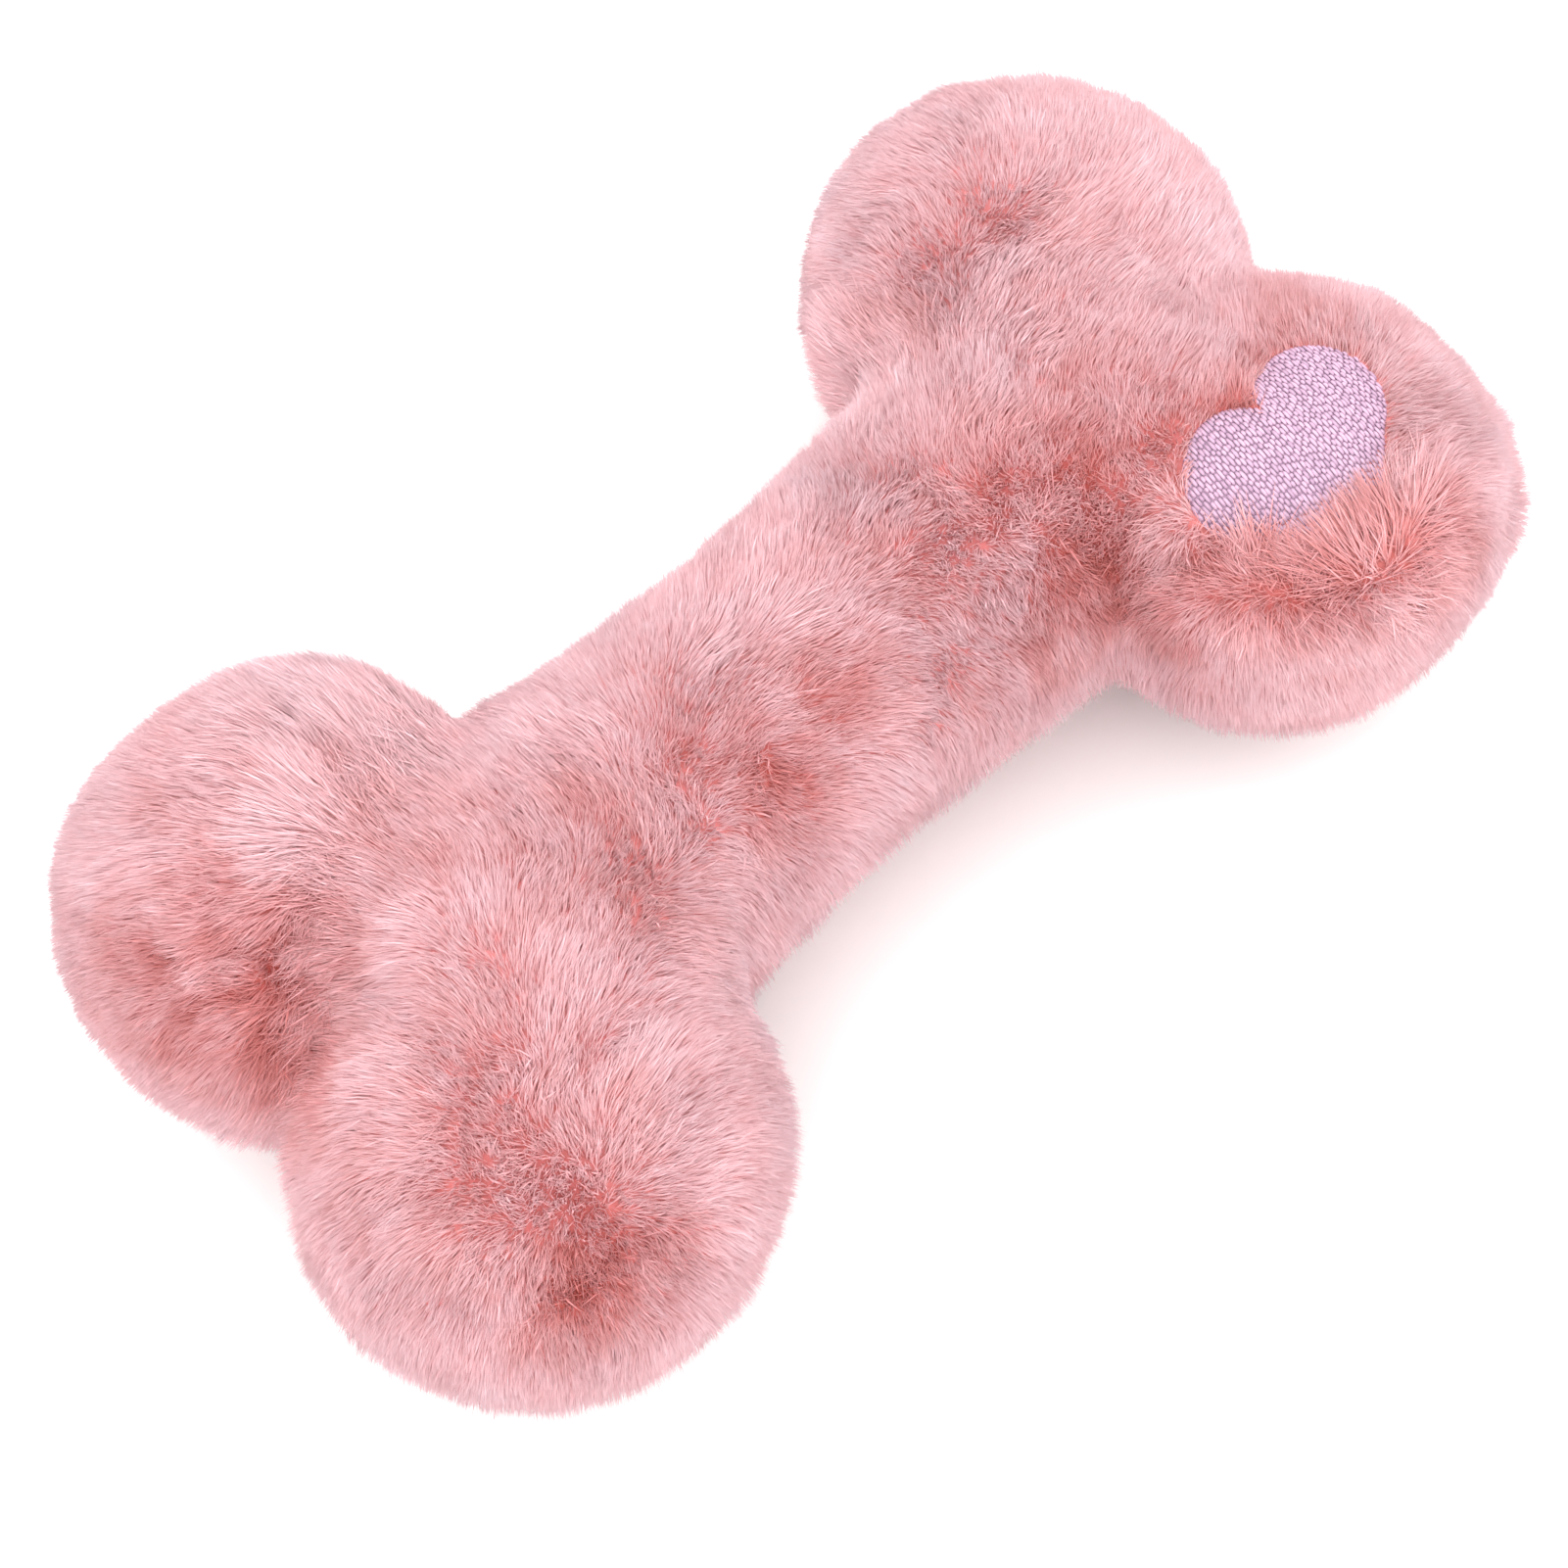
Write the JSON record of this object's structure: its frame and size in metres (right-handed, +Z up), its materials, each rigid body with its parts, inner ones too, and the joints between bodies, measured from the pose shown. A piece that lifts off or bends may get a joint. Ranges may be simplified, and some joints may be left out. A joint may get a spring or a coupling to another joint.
{
  "type": "plush squeaky dog toy",
  "caption": "Soft bone-shaped plush dog toy in pink faux rabbit fur with a lilac embroidered heart on an end knob and a pleated squeaker inside the shaft.",
  "frame": {"origin": "middle of the bone in plan, on the plane that its four knobs rest on", "axes": "+X along the bone towards the end with the heart, +Y away from the side with the heart, +Z up through the upper fur panel"},
  "size_m": [0.1786, 0.0992, 0.0527],
  "materials": {
    "fur": "soft long-pile faux rabbit fur, pale tips over deeper roots",
    "fibre_filling": "loose white polyester fibre",
    "seam_thread": "spun polyester sewing thread",
    "heart_thread": "satin rayon embroidery thread in a dense fill stitch",
    "nonwoven": "matte spun-bonded cloth",
    "bellows_plastic": "waxy natural polythene",
    "whistle_plastic": "smooth injection moulded",
    "reed_film": "thin stiff film"
  },
  "bodies": {
    "bone": {"upper_cover_left_front": "fur", "upper_cover_left_back": "fur", "upper_cover_right_back": "fur", "upper_cover_right_front": "fur", "lower_cover_left_front": "fur", "lower_cover_left_back": "fur", "lower_cover_right_back": "fur", "lower_cover_right_front": "fur", "lower_cover_shaft": "fur", "filling_left_front": "fibre_filling", "filling_left_back": "fibre_filling", "filling_right_back": "fibre_filling", "filling_right_front": "fibre_filling", "filling_shaft_base": "fibre_filling", "filling_shaft_left": "fibre_filling", "filling_shaft_right": "fibre_filling", "edge_seam_thread": "seam_thread", "closing_ladder_thread": "seam_thread", "embroidered_heart": "heart_thread", "embroidery_stabiliser": "nonwoven", "squeaker_pouch_lower": "nonwoven", "squeaker_pouch_upper": "nonwoven", "squeaker_bellows": "bellows_plastic"},
    "crown": {"upper_cover_shaft": "fur", "filling_shaft_crown": "fibre_filling", "reed_sleeve": "whistle_plastic", "reed_bed": "whistle_plastic", "reed_wedge": "whistle_plastic"},
    "tongue": {"reed_tongue": "reed_film"}
  },
  "joints": [
    {"name": "squeeze", "type": "slide", "parent": "bone", "child": "crown", "axis": [0, 0, -1], "range_m": [0, 0.008], "stiffness_N_per_m": 1200, "deforming": ["upper_cover_shaft", "filling_shaft_left", "filling_shaft_right", "squeaker_pouch_upper", "squeaker_bellows"]},
    {"name": "reed", "type": "hinge", "parent": "crown", "child": "tongue", "pos_m": [0, -0.00007, 0.03235], "axis": [1, 0, 0], "range_deg": [0, 4], "stiffness_Nm_per_rad": 0.0026}
  ]
}
